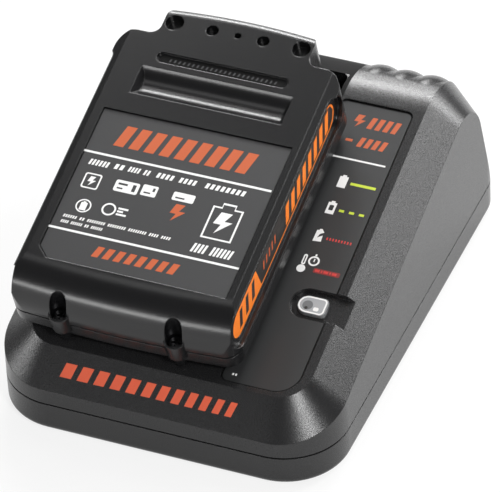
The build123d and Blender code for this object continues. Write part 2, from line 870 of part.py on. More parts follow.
def pack_base():
    """Lower shell: tapering underside and the block that stands in the well."""
    plan = extrude(pack_plan(0), amount=pack_part)
    inset = pack_half - hull_half
    hull = loft([Pos(0, 0, pack_under) * pack_plan(0), Pos(0, 0, hull_under) * pack_plan(inset)],
                ruled=True)
    base = hull + (plan & block(-width, width, 0, depth, pack_under, pack_part))
    base += slab(-stem_half, stem_half, stem_front, stem_rear, stem_under, hull_under + past,
                 stem_corner_r)
    base -= slab(-cell_room, cell_room, pack_front + pack_side_wall,
                 pack_rear - pack_wall, hull_under + pack_wall / 2, pack_part + past, stem_corner_r)
    base += [boss & plan for boss in boss_rods(boss_r + pack_wall / 2, pack_under, pack_part)]
    base += boss_posts()
    base -= boss_rods(boss_r + snug_fit, pack_part - boss_dip - snug_fit, pack_part + past)
    base -= slab(-stem_half + pack_wall, stem_half - pack_wall, stem_front + pack_wall,
                 stem_rear - pack_wall, stem_under + pack_wall, pack_part, stem_corner_r)
    base += cheeks(cheek_low, pack_part)
    for x in (-1, 1):
        for s in board_post_s():
            base += rod(board_post_r, x * board_post_x(), s, stem_under, pack_board_level)
    for slot in blade_shapes(slot_clear, slot_clear, stem_under - past,
                             stem_under + pack_wall + past):
        base -= slot
    base -= boss_rods(screw_shank_r + snug_fit, bore_floor - pack_screw_length, pack_part)
    return in_pack(base)


def boss_posts():
    """Tapered posts under the front screw bosses."""
    top = pack_part - boss_dip
    height = top - boss_under
    return [Pos(boss_shift + side * boss_x, boss_s, boss_under + height / 2)
            * Cone(boss_post_r, boss_post_top, height) for side in (-1, 1)]


def board_post_x():
    """Posts of the pack's board, in from its long edges."""
    return pack_board_half - board_post_r


def board_post_s():
    """Posts of the pack's board, in from its ends."""
    margin = board_post_r
    return (pack_board_front + block_length + 2 * margin,
            pack_board_front + pack_board_length - margin)


def pack_label():
    """Printed label in the face."""
    plate = Pos(0, 0, pack_top - label_recess) * extrude(label_face(label_gap), amount=label_thick)
    return in_pack(plate)


def side_strip(side):
    """Coloured strip let into one side of the cover."""
    x0 = pack_half - strip_recess
    return in_pack(strip_tool(side, -trim_gap, -trim_gap, x0, x0 + strip_thick))


def pack_screws():
    """Screws at the front of the pack."""
    return [in_pack(Pos(boss_shift + side * boss_x, boss_s, bore_floor) * screw(pack_screw_length))
            for side in (-1, 1)]


def cell_places():
    """Cell positions up the slope."""
    return [cell_start + i * cell_pitch for i in range(cell_count)]


def cell_rod(radius, s, length):
    """Cylinder lying across the pack."""
    return Pos(0, s, cell_level) * Rot(0, 90, 0) * Cylinder(radius, length)


def cells():
    """Five round cells lying across the pack."""
    return [in_pack(cell_rod(cell_r, s, cell_length)) for s in cell_places()]


def cell_holder(side):
    """Bored plate that holds the cells at one end."""
    x0, x1 = sorted((side * holder_outer, side * (holder_outer - holder_thick)))
    low = hull_under + pack_wall / 2
    high = pack_top - pack_wall - holder_fit
    reach = cell_r + holder_fit + holder_rim
    plate = block(x0, x1, cell_places()[0] - reach, cell_places()[-1] + reach, low, high)
    brow = plate.edges().filter_by(Axis.X).group_by(Axis.Z)[-1].sort_by(Axis.Y)[0]
    plate = fillet(brow, holder_corner_r)
    for s in cell_places():
        plate -= cell_rod(cell_r + holder_fit, s, width)
    return in_pack(plate)


def cell_straps():
    """Nickel straps that put the cells in series."""
    places = cell_places()
    left = [(0, 1), (2, 3), (4, 4)]
    right = [(0, 0), (1, 2), (3, 4)]
    straps = []
    for side, pairs in ((-1, left), (1, right)):
        face = cell_length / 2
        x0, x1 = sorted((side * face, side * (face + strap_thick)))
        for first, last in pairs:
            straps.append(in_pack(block(x0, x1, places[first] - strap_end,
                                        places[last] + strap_end, cell_level - strap_width / 2,
                                        cell_level + strap_width / 2)))
    return straps


def pack_board():
    """Board over the contacts, on posts in the base."""
    return in_pack(block(-pack_board_half, pack_board_half, pack_board_front,
                         pack_board_front + pack_board_length, pack_board_level,
                         pack_board_level + board_thick))


def pack_contacts():
    """Spring clips under the board, one leaf on each side of a blade."""
    low = pack_board_level - clip_height
    clips = []
    outer = clip_gap + clip_leaf
    shells = blade_shapes(outer, -clip_margin, low, pack_board_level)
    rooms = blade_shapes(clip_gap, 0, low - past, pack_board_level - clip_bridge)
    for shell, room in zip(shells, rooms):
        clips.append(in_pack(shell - room))
    return clips


# ---- release button ---------------------------------------------------------------------------

def release_button():
    """Sliding button with its latch tooth, under the grip lip."""
    s0 = pack_rear + button_gap
    s1 = s0 + button_wing
    s2 = s0 + button_reach
    body = block(-button_half, button_half, s0, s1, button_low, button_high)
    nose = block(-button_nose_half, button_nose_half, s1, s2, button_low, button_high)
    nose = fillet(nose.edges().filter_by(Axis.X).group_by(Axis.Y)[-1], button_wing / 2)
    body += nose
    tooth = make_face(Polyline((s0, button_low), (s0 + tooth_thick, button_low),
                               (s0 + tooth_thick, tooth_low + tooth_thick), (s0, tooth_low),
                               close=True))
    plane = Plane(origin=(0, 0, 0), x_dir=(0, 1, 0), z_dir=(1, 0, 0))
    body += extrude(plane * tooth, amount=tooth_half, both=True)
    body -= rod(spring_bore_r, 0, spring_s(), spring_low(), button_high + past)
    return in_pack(body)


def spring_s():
    """Spring position, midway through the button."""
    return pack_rear + button_gap + button_reach / 2


def spring_low():
    """Lower end of the spring, in the button."""
    return lip_under - spring_length


def latch_spring():
    """Coil spring between the button and the grip lip."""
    height = spring_length - 2 * spring_wire_r
    path = Helix(pitch=height / spring_turns, height=height, radius=spring_r)
    start = Plane(origin=path @ 0, z_dir=path % 0)
    coil = sweep(start * RegularPolygon(spring_wire_r, spring_wire_sides), path=path)
    return in_pack(Pos(0, spring_s(), spring_low() + spring_wire_r) * coil)


parts = {
    "base_shell": base_shell(),
    "top_housing": top_housing(),
    "indicator_panel": indicator_panel(),
    "status_lens": status_lens(),
    "status_led": status_led(),
    "led_board": led_board(),
    "main_board": main_board(),
    "board_screws": board_screws(),
    "transformer_core": transformer_core(),
    "transformer_winding": transformer_winding(),
    "capacitors": capacitors(),
    "heat_sink": heat_sink(),
    "terminal_block": terminal_block(),
    "contact_blades": contact_blades(),
    "cord_bush": cord_bush(),
    "housing_screws": housing_screws(),
    "rubber_feet": rubber_feet(),
    "pack_cover": pack_cover(),
    "pack_base": pack_base(),
    "pack_label": pack_label(),
    "side_strip_left": side_strip(-1),
    "side_strip_right": side_strip(1),
    "pack_screws": pack_screws(),
    "cells": cells(),
    "cell_holder_left": cell_holder(-1),
    "cell_holder_right": cell_holder(1),
    "cell_straps": cell_straps(),
    "pack_board": pack_board(),
    "pack_contacts": pack_contacts(),
    "latch_spring": latch_spring(),
    "release_button": release_button(),
}

os.makedirs("parts", exist_ok=True)
for name, shape in parts.items():
    whole = Compound(children=shape) if isinstance(shape, list) else shape
    export_step(whole, f"parts/{name}.step")
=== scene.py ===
"""Looks of a power tool battery charger with its pack docked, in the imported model's frame.

Sizes are in millimetres, on axes that lie on the sloping deck: x across it from the middle of the
charger, s up its slope from the front edge and n square to it. Flat artwork is drawn in the plane
of its surface and laid there by one of the ON_ matrices. Blender's own units are metres.
"""
import json
import math

import bpy
from mathutils import Matrix, Vector


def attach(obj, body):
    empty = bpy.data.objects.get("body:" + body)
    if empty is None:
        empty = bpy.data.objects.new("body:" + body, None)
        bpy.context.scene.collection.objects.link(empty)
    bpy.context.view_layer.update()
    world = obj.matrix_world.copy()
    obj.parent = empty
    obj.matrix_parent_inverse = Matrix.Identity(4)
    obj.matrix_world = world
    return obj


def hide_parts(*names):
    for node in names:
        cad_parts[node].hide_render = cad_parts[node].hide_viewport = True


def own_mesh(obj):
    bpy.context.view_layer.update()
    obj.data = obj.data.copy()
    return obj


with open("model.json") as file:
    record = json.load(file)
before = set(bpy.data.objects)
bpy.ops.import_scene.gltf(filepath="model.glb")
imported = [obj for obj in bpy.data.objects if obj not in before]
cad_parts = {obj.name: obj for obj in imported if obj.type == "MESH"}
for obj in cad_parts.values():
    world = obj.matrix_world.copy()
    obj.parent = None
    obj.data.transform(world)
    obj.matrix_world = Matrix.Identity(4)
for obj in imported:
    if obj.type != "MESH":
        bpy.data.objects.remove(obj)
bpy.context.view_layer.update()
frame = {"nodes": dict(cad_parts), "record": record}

MM = 0.001

# The charger
SLOPE = math.radians(16.3)          # deck angle
FRONT_Y = -81.5                     # front edge, where s is 0
DECK_Z = 26.7                       # height of the deck plane there
BEVEL_TOP_S = 9.6                   # upper edge of the front bevel
BEVEL_RUN, BEVEL_DROP = 11.0, 8.0   # front bevel along and square to the deck
RIDGE_R = 26.0                      # rounding of the ridge
RIDGE_S = 152.21                    # where its rounded top ends
DOCK_LEFT, DOCK_RIGHT = -45.3, 19.3     # sides of the dock
DOCK_REAR = 136.0                   # rear edge of the painted shade behind the well
DOCK_END = 146.0                    # rear edge of the dark inlay behind the well
PANEL_BOX = (19.0, 11.3, 44.7, 125.2)   # left, front, right and rear edges of its recess
PANEL_SMALL_R, PANEL_LARGE_R = 2.6, 8.4     # its corners; the front right one is large
PANEL_N = -0.5                      # top of the indicator panel
NOTCH_FOOT, NOTCH_TOP = 40.2, 51.6  # sides of the light's notch on the panel's edge
LENS_LEFT, LENS_RIGHT = 33.2, 42.6
LENS_S = 45.9                       # middle of the lens
LENS_HALF = 3.2                     # half of its width
LENS_N = -0.8                       # top of the lens

# The pack
PACK_X = -13.0                      # middle of the pack
LABEL_N = 24.1                      # top of its label
SLOT_N = 23.8                       # floor of the narrow slot in its face
STRIP_X = 37.3                      # outside of its side strips, from its middle

# Print
INK = 0.05                          # thickness of a printed layer
STROKE_SHARE = 0.62                 # share of a word of small print that its strokes cover
WORD_GAP = 0.8                      # gap between two words, in the unit of their lengths

# Camera and studio
CAMERA_AZIMUTH, CAMERA_ELEVATION, CAMERA_ROLL = 24.317, 39.452, -3.298      # degrees
CAMERA_TARGET = (-2.03, 6.04, 18.52)        # world point in the middle of the picture
CAMERA_DISTANCE = 1495.86
CAMERA_LENS, CAMERA_SENSOR = 327.2, 36.0
FLOOR_HALF = 6000.0                 # half of the floor's side
LIGHT_DISTANCE = 1200.0
LIGHT_TARGET = (0.0, 0.0, 40.0)     # world point that every light faces
FLOOR_SEEN, FLOOR_MIRRORED = 0.8, 0.5       # share of plain white in the floor
WORLD_SEEN, WORLD_MIRRORED = 1.0, 0.15      # and in the surroundings
WORLD_DIM = 0.03                    # strength of the surroundings as a light

# Textures, in marks to the metre
PATCH_SCALE = 45.0                  # uneven sheen of a plastic
TOOL_SCALE = 1500.0                 # tool marks of a metal
FLOW_SCALE = 400.0                  # flow marks in clear plastic

X = Vector((1, 0, 0))
S = Vector((0, math.cos(SLOPE), math.sin(SLOPE)))
N = Vector((0, -math.sin(SLOPE), math.cos(SLOPE)))
ORIGIN = Vector((0, FRONT_Y, DECK_Z))


# ---- places on the object ----

def dock_point(x, s, n):
    """World point in millimetres from coordinates on the sloping deck."""
    return ORIGIN + x * X + s * S + n * N


def place(origin, across, up):
    """Matrix that takes flat artwork in millimetres to a surface in metres."""
    normal = across.cross(up)
    turn = Matrix((across, up, normal)).transposed().to_4x4()
    return Matrix.Translation(origin * MM) @ turn @ Matrix.Scale(MM, 4)


ON_LABEL = place(dock_point(PACK_X, 0, LABEL_N), X, S)
IN_SLOT = place(dock_point(PACK_X, 0, SLOT_N), X, S)
ON_LENS = place(dock_point(0, LENS_S, LENS_N), X, S)
ON_PANEL = place(dock_point(0, 0, PANEL_N), X, S)
ON_RIGHT = place(dock_point(PACK_X + STRIP_X, 0, 0), S, N)
ON_LEFT = place(dock_point(PACK_X - STRIP_X, 0, 0), -S, N)
BEVEL_UP = (BEVEL_RUN * S + BEVEL_DROP * N).normalized()
ON_BEVEL = place(dock_point(0, BEVEL_TOP_S, 0), X, BEVEL_UP)


# ---- objects ----

def new_object(name, data):
    """Object that holds this data, in the scene."""
    thing = bpy.data.objects.new(name, data)
    bpy.context.scene.collection.objects.link(thing)
    return thing


def own_piece(name, mesh, material, body):
    """Piece of the scene's own, which rides on a body of the model."""
    mesh.materials.clear()
    mesh.materials.append(material)
    piece = new_object(name, mesh)
    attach(piece, body)
    return piece


def direction(azimuth, elevation):
    """Unit vector from the object; azimuth runs from the front to the right, both in radians."""
    return Vector((math.sin(azimuth) * math.cos(elevation),
                   -math.cos(azimuth) * math.cos(elevation), math.sin(elevation)))


def make_camera():
    """Long lens from the front right, turned a little about its own axis."""
    azimuth, elevation, roll = (math.radians(angle) for angle in
                                (CAMERA_AZIMUTH, CAMERA_ELEVATION, CAMERA_ROLL))
    back = direction(azimuth, elevation)
    right = Vector((math.cos(azimuth), math.sin(azimuth), 0))
    up = back.cross(right)
    across = math.cos(roll) * right + math.sin(roll) * up
    above = math.cos(roll) * up - math.sin(roll) * right
    turn = Matrix((across, above, back)).transposed().to_4x4()
    seat = Vector(CAMERA_TARGET) * MM + CAMERA_DISTANCE * MM * back
    camera = new_object("camera", bpy.data.cameras.new("camera"))
    camera.matrix_world = Matrix.Translation(seat) @ turn
    camera.data.sensor_fit = "HORIZONTAL"
    camera.data.sensor_width = CAMERA_SENSOR
    camera.data.lens = CAMERA_LENS
    bpy.context.scene.camera = camera


# ---- materials ----

class Nodes:
    """Short way to build a node tree."""

    def __init__(self, tree):
        self.tree = tree
        tree.nodes.clear()

    def feed(self, socket, value):
        """Links an output to the socket, or sets the socket's own value."""
        if hasattr(value, "is_output"):
            self.tree.links.new(value, socket)
        else:
            socket.default_value = value

    def add(self, kind, *inputs, **values):
        """New node. Its first sockets take the inputs in order, and the others go by name."""
        node = self.tree.nodes.new(kind)
        for socket, value in zip(node.inputs, inputs):
            self.feed(socket, value)
        for key, value in values.items():
            socket = node.inputs.get(key.replace("_", " "))
            if socket is None:
                setattr(node, key, value)
            else:
                self.feed(socket, value)
        return node

    def place_on(self):
        """Place on the object, in metres, which its textures follow."""
        return self.add("ShaderNodeTexCoord").outputs["Object"]

    def maths(self, operation, first, second):
        """Result of one operation on two values."""
        return self.add("ShaderNodeMath", first, second, operation=operation).outputs[0]

    def between(self, low, high, value):
        """Value from 0 to 1, brought between two limits."""
        mapped = self.add("ShaderNodeMapRange", Value=value, To_Min=low, To_Max=high)
        return mapped.outputs["Result"]


def new_material(name):
    """Empty material with its node tree."""
    material = bpy.data.materials.new(name)
    material.use_nodes = True
    return material, Nodes(material.node_tree)


def plastic(name, rgb, roughness, grain=0.25, bump=0.0, uneven=0.06, edge=0.3, specular=0.5):
    """Moulded plastic with fine grain and softened edges.

    Grain and edge are in millimetres, bump is the strength of the grain and uneven is how far the
    tone and sheen vary.
    """
    material, nodes = new_material(name)
    place_on = nodes.place_on()
    fine = nodes.add("ShaderNodeTexNoise", Vector=place_on, Scale=1000 / grain, Detail=3.0)
    broad = nodes.add("ShaderNodeTexNoise", Vector=place_on, Scale=PATCH_SCALE, Detail=4.0)
    tone = nodes.between(1.0 - uneven, 1.0 + uneven, broad.outputs["Fac"])
    colour = nodes.add("ShaderNodeVectorMath", rgb, operation="SCALE", Scale=tone)
    sheen = nodes.between(roughness - uneven / 2, roughness + uneven / 2, fine.outputs["Fac"])
    soft = nodes.add("ShaderNodeBevel", Radius=edge * MM, samples=4)
    bumped = nodes.add("ShaderNodeBump", Height=fine.outputs["Fac"], Strength=bump,
                       Distance=grain * MM, Normal=soft.outputs["Normal"])
    shader = nodes.add("ShaderNodeBsdfPrincipled", Base_Color=colour.outputs["Vector"],
                       Roughness=sheen, Normal=bumped.outputs["Normal"],
                       Specular_IOR_Level=specular)
    nodes.add("ShaderNodeOutputMaterial", Surface=shader.outputs["BSDF"])
    return material


def ink(name, rgb, roughness, specular=0.5):
    """Printed ink, with a faint grain."""
    return plastic(name, rgb, roughness, 0.2, 0.02, edge=0.05, specular=specular)


def metal(name, rgb, roughness, stretch=(1.0, 1.0, 1.0)):
    """Metal with fine marks, drawn out where it is brushed or rolled."""
    material, nodes = new_material(name)
    drawn = nodes.add("ShaderNodeMapping", Vector=nodes.place_on(), Scale=stretch)
    marks = nodes.add("ShaderNodeTexNoise", Vector=drawn.outputs["Vector"], Scale=TOOL_SCALE)
    rough = nodes.between(roughness * 0.7, roughness * 1.3, marks.outputs["Fac"])
    bumped = nodes.add("ShaderNodeBump", Height=marks.outputs["Fac"], Strength=0.15,
                       Distance=0.1 * MM)
    shader = nodes.add("ShaderNodeBsdfPrincipled", Base_Color=(*rgb, 1.0), Metallic=1.0,
                       Roughness=rough, Normal=bumped.outputs["Normal"])
    nodes.add("ShaderNodeOutputMaterial", Surface=shader.outputs["BSDF"])
    return material


def clear(name, rgb, roughness):
    """Clear moulded plastic with faint flow marks."""
    material, nodes = new_material(name)
    flow = nodes.add("ShaderNodeTexNoise", Vector=nodes.place_on(), Scale=FLOW_SCALE, Detail=2.0)
    bumped = nodes.add("ShaderNodeBump", Height=flow.outputs["Fac"], Strength=0.3,
                       Distance=0.3 * MM)
    shader = nodes.add("ShaderNodeBsdfPrincipled", Base_Color=(*rgb, 1.0), Roughness=roughness,
                       IOR=1.49, Normal=bumped.outputs["Normal"], Transmission_Weight=0.7)
    nodes.add("ShaderNodeOutputMaterial", Surface=shader.outputs["BSDF"])
    return material


# Plastics: colour, roughness, grain and bump. Metals: colour, roughness and stretch of the marks.
MATERIALS = {
    "charger_plastic": plastic("charger_plastic", (0.011, 0.011, 0.0115), 0.27, 0.25, 0.15),
    "panel_film": plastic("panel_film", (0.017, 0.0175, 0.018), 0.42, 0.12, 0.08, edge=0.1),
    "clear_lens": clear("clear_lens", (0.80, 0.82, 0.84), 0.08),
    "led_white": plastic("led_white", (0.9, 0.9, 0.82), 0.3, 0.2, 0.02),
    "circuit_board": plastic("circuit_board", (0.02, 0.12, 0.05), 0.4, 1.5, 0.1),
    "screw_steel": metal("screw_steel", (0.62, 0.62, 0.63), 0.28),
    "core_steel": metal("core_steel", (0.30, 0.30, 0.31), 0.5, (1.0, 30.0, 1.0)),
    "winding_tape": plastic("winding_tape", (0.55, 0.36, 0.04), 0.35, 0.8, 0.1),
    "capacitor_sleeve": plastic("capacitor_sleeve", (0.02, 0.025, 0.06), 0.3, 0.5, 0.05),
    "sink_aluminium": metal("sink_aluminium", (0.82, 0.83, 0.85), 0.35, (1.0, 20.0, 20.0)),
    "terminal_plastic": plastic("terminal_plastic", (0.02, 0.02, 0.02), 0.5, 0.3, 0.2),
    "contact_brass": metal("contact_brass", (0.78, 0.62, 0.30), 0.25, (1.0, 12.0, 1.0)),
    "black_rubber": plastic("black_rubber", (0.012, 0.012, 0.012), 0.75, 0.3, 0.3),
    "pack_plastic": plastic("pack_plastic", (0.005, 0.005, 0.0055), 0.25, 0.3, 0.03, 0.04,
                            edge=0.45),
    "label_film": plastic("label_film", (0.026, 0.026, 0.027), 0.45, 0.15, 0.05, edge=0.1),
    "strip_film": plastic("strip_film", (0.85, 0.20, 0.015), 0.4, 0.3, 0.03, edge=0.1),
    "cell_wrap": plastic("cell_wrap", (0.03, 0.16, 0.14), 0.3, 1.2, 0.05),
    "holder_plastic": plastic("holder_plastic", (0.05, 0.05, 0.05), 0.5, 0.4, 0.2),
    "nickel": metal("nickel", (0.72, 0.70, 0.66), 0.25, (1.0, 10.0, 1.0)),
    "black_steel": metal("black_steel", (0.05, 0.05, 0.052), 0.3),
    "spring_steel": metal("spring_steel", (0.55, 0.55, 0.56), 0.3),
}
INKS = {
    "orange": ink("ink_orange", (0.47, 0.088, 0.02), 0.6),
    "badge": ink("ink_badge", (0.62, 0.085, 0.03), 0.5),
    "bright": ink("ink_bright", (0.88, 0.21, 0.015), 0.45),
    "white": ink("ink_white", (0.78, 0.78, 0.77), 0.5),
    "green": ink("ink_green", (0.50, 0.62, 0.03), 0.5),
    "red": ink("ink_red", (0.55, 0.035, 0.03), 0.5),
    # black ink is painted shade: on the slot's floor, along the panel's groove and at the rear of
    # the dock
    "black": ink("ink_black", (0.003, 0.003, 0.003), 0.7, 0.15),
    # painted reflection on the lens of the status light
    "painted_reflection": ink("ink_painted_reflection", (0.36, 0.37, 0.38), 0.25),
    "cup": ink("ink_cup", (0.17, 0.175, 0.18), 0.2),
    "grey": ink("ink_grey", (0.05, 0.05, 0.052), 0.6),
    "dull_red": ink("ink_dull_red", (0.20, 0.018, 0.016), 0.5),
    "dark": ink("ink_dark", (0.02, 0.018, 0.016), 0.4),
}
BLACKENED = ("pack_screws",)        # steel screws with a black finish


def paint_nodes():
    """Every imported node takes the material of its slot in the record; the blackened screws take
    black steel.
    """
    for part in frame["record"]["subparts"]:
        finish = "black_steel" if part["node"] in BLACKENED else part["material_slot"]
        node = frame["nodes"][part["node"]]
        node.data.materials.clear()
        node.data.materials.append(MATERIALS[finish])


# ---- printed artwork: shapes ----

def bar(x0, y0, x1, y1, lean=0.0):
    """Upright or slanted bar; lean is how far its top moves along."""
    return [(x0, y0), (x1, y0), (x1 + lean, y1), (x0 + lean, y1)]


def polar(x, y, radius, angle):
    """Point at an angle in radians round a centre."""
    return x + radius * math.cos(angle), y + radius * math.sin(angle)


def disc(x, y, radius, steps=32):
    """Round outline."""
    return [polar(x, y, radius, 2 * math.pi * i / steps) for i in range(steps)]


def arcs(corners, steps=8):
    """Points along arcs, each given by its centre, radius and two angles in degrees."""
    return [polar(x, y, radius, math.radians(first + (last - first) * i / steps))
            for x, y, radius, first, last in corners for i in range(steps + 1)]


def rounded(x0, y0, x1, y1, radius):
    """Bar with rounded corners."""
    return arcs(((x1 - radius, y1 - radius, radius, 0, 90),
                 (x0 + radius, y1 - radius, radius, 90, 180),
                 (x0 + radius, y0 + radius, radius, 180, 270),
                 (x1 - radius, y0 + radius, radius, 270, 360)))


def bolt(x, y, size):
    """Plain zigzag flash."""
    shape = ((0.15, 1.0), (0.62, 1.0), (0.42, 0.60), (0.75, 0.60), (0.18, 0.0), (0.32, 0.44),
             (0.0, 0.44))
    return [(x + size * a, y + size * b) for a, b in shape]


def battery(x, y, width, height):
    """Upright battery outline with its small cap."""
    shoulder = width * 0.28
    neck = height * 0.88
    return [(x, y), (x + width, y), (x + width, y + neck), (x + width - shoulder, y + neck),
            (x + width - shoulder, y + height), (x + shoulder, y + height),
            (x + shoulder, y + neck), (x, y + neck)]


def row(x0, x1, y0, y1, count, share, lean=0.0):
    """Evenly spaced bars; share is how much of the row they cover."""
    pitch = (x1 - x0) / (count - 1 + share)
    return [bar(x0 + i * pitch, y0, x0 + i * pitch + pitch * share, y1, lean)
            for i in range(count)]


def text_like(x0, x1, y, height, words):
    """Line of small print, shown as plain blocks; words gives the length of each word."""
    unit = (x1 - x0) / (sum(words) + WORD_GAP * (len(words) - 1))
    shapes = []
    x = x0
    for length in words:
        strokes = max(2, round(length * 2))
        shapes += row(x, x + length * unit, y, y + height, strokes, STROKE_SHARE, height * 0.2)
        x += (length + WORD_GAP) * unit
    return shapes


def printed(name, loops, where, body, colour, lift=0.0):
    """Thin printed layer from closed outlines; an outline inside another is a hole.

    The body is that of the surface. A layer that lies on another one is lifted by
    the thickness of the ink.
    """
    curve = bpy.data.curves.new(name, "CURVE")
    curve.dimensions = "2D"
    curve.fill_mode = "BOTH"
    curve.extrude = INK / 2
    for loop in loops:
        spline = curve.splines.new("POLY")
        spline.points.add(len(loop) - 1)
        for point, (x, y) in zip(spline.points, loop):
            point.co = (x, y, 0, 1)
        spline.use_cyclic_u = True
    source = new_object(name, curve)
    bpy.context.view_layer.update()
    mesh = bpy.data.meshes.new_from_object(source)
    bpy.data.objects.remove(source)
    mesh.transform(where @ Matrix.Translation((0, 0, lift)))
    own_piece(name, mesh, INKS[colour], body)


# ---- printed artwork: places ----

def front_art():
    """Slanted bars on the front bevel, each a little narrower than the one before."""
    foot, head, lean = -9.4, -4.6, 1.5
    bars = []
    x = -33.0
    for i in range(12):
        width = 3.9 - 0.15 * i
        bars.append(bar(x, foot, x + width, head, lean))
        x += width + 2.0
    printed("front_bars", bars, ON_BEVEL, "charger", "badge")


def label_print():
    """Lines of small print: left, right, foot, height and lengths of the words."""
    lines = ((-29.2, -22.6, 63.7, 2.2, (3, )),
             (-20.4, -17.4, 64.0, 2.0, (1, )),
             (-15.6, -8.4, 64.1, 2.0, (2, 1)),
             (-5.8, 7.6, 64.2, 2.0, (2, 2)),
             (11.0, 24.4, 64.3, 2.0, (4, )),
             (-29.4, 7.4, 42.4, 1.1, (3, 1, 4, 4, 4, 2, 2)),
             (-29.4, -15.2, 40.2, 1.1, (2, 3, 1, 3)))
    return [stroke for line in lines for stroke in text_like(*line)]


def label_signs():
    """Plain signs in the middle of the label."""
    in_ring = [disc(-24.4, 47.9, 2.6), disc(-24.4, 47.9, 2.15), battery(-25.5, 46.2, 2.2, 3.4)]
    in_frame = [rounded(-28.4, 54.6, -22.6, 60.6, 0.8), rounded(-27.9, 55.1, -23.1, 60.1, 0.5),
                bolt(-26.8, 55.7, 3.7)]
    pair = [rounded(-17.6, 56.0, -9.4, 60.4, 0.7), rounded(-8.4, 56.6, -3.2, 60.8, 0.5)]
    pair += [bar(-16.6, 57.0, -14.6, 57.6), bar(-16.6, 58.6, -13.4, 59.4),
             bar(-11.6, 56.9, -10.4, 59.6), bar(-7.5, 57.5, -5.2, 58.1),
             bar(-4.8, 58.6, -4.0, 60.0)]
    single = [rounded(2.2, 57.4, 9.6, 60.6, 0.5), bar(3.2, 58.2, 6.4, 58.8)]
    ring = [disc(-15.9, 48.7, 2.4), disc(-15.9, 48.7, 1.8)]
    dashes = [bar(-13.0, 47.2, -9.6, 47.9), bar(-13.0, 49.5, -9.6, 50.2),
              bar(-13.0, 48.35, -11.0, 49.05)]
    large = [battery(16.4, 46.2, 10.4, 14.2), battery(17.0, 46.8, 9.2, 12.9),
             bolt(18.6, 48.6, 8.2)]
    return in_ring + in_frame + pair + single + ring + dashes + large


def label_art():
    """Rules, small print, plain signs and slanted bars on the face label, with painted shade and
    faint marks in its slot.
    """
    rules = [bar(-33.0, 68.05, 32.4, 68.85), bar(-33.2, 37.45, 32.9, 38.25)]
    large_print = text_like(15.2, 28.6, 40.2, 3.4, (2, 3))
    white = rules + label_print() + label_signs() + large_print
    printed("label_white", white, ON_LABEL, "pack", "white")
    # painted shade on the floor of the narrow slot in the face
    slot = [rounded(-22.2, 107.7, 22.2, 111.1, 1.69)]
    printed("slot_painted_shade", slot, IN_SLOT, "pack", "black")
    ticks = row(-18.6, 18.6, 108.6, 109.8, 24, 0.3, 0.3)
    printed("slot_ticks", ticks, IN_SLOT, "pack", "grey", INK)
    orange = row(-24.0, 21.6, 72.6, 80.9, 9, 0.66, 2.0)
    orange += row(-14.8, 13.2, 30.3, 34.4, 8, 0.6, 1.2)
    orange += [bolt(3.6, 49.6, 6.6)]
    printed("label_orange", orange, ON_LABEL, "pack", "orange")


def strip_art(name, where, sign):
    """Dark field with slanted bars on one side strip; sign turns the art round on the left."""
    field = [(41.5, 12.3), (104.4, 12.3), (107.5, 13.8), (108.8, 16.8), (107.5, 19.9),
             (104.4, 21.5), (40.1, 21.5)]
    layers = (("_field", [field], "dark", 0.0),
              ("_bars", row(64.0, 103.0, 13.2, 20.2, 8, 0.55, 2.6), "bright", INK),
              ("_marks", row(23.0, 36.0, 13.4, 20.0, 3, 0.42, 2.2), "dark", 0.0),
              ("_small", row(44.6, 55.6, 15.6, 18.8, 5, 0.35, 1.0), "orange", INK))
    for layer, loops, colour, lift in layers:
        turned = [[(sign * x, y) for x, y in loop] for loop in loops]
        printed(name + layer, turned, where, "pack", colour, lift)


def panel_path(inset):
    """Edge of the panel from one side of the light's notch right round to the other."""
    left, front, right, rear = PANEL_BOX
    left, front, right, rear = left + inset, front + inset, right - inset, rear - inset
    small, large = PANEL_SMALL_R - inset, PANEL_LARGE_R - inset
    corners = arcs(((right - small, rear - small, small, 0, 90),
                    (left + small, rear - small, small, 90, 180),
                    (left + small, front + small, small, 180, 270),
                    (right - large, front + large, large, 270, 360)))
    return [(right, NOTCH_TOP)] + corners + [(right, NOTCH_FOOT)]


def panel_signs():
    """White signs of the panel, from its rear to its front."""
    rule = [bar(23.7, 102.3, 42.4, 102.95)]
    full = [battery(29.5, 91.2, 2.9, 5.0)]
    filling = [battery(29.4, 80.5, 2.9, 5.1), rounded(30.1, 81.9, 31.6, 84.0, 0.3)]
    broken = [[(29.4, 69.2), (32.2, 69.5), (32.0, 71.9), (30.4, 70.7), (30.9, 72.3), (32.1, 73.1),
               (31.4, 73.9), (31.1, 74.3), (30.4, 74.2), (30.2, 73.7), (29.5, 73.6)]]
    thermometer = [disc(29.5, 58.2, 1.45), rounded(28.85, 59.75, 30.15, 63.8, 0.6),
                   rounded(29.3, 60.3, 29.7, 63.2, 0.18)]
    clock = [disc(32.7, 61.8, 1.9), disc(32.7, 61.8, 1.3), bar(32.55, 61.5, 32.95, 62.7),
             bar(32.4, 63.8, 33.0, 64.5)]
    dots = [bar(22.5, 14.2, 23.1, 15.0), bar(23.5, 14.2, 24.1, 15.0)]
    return rule + full + filling + broken + thermometer + clock + dots


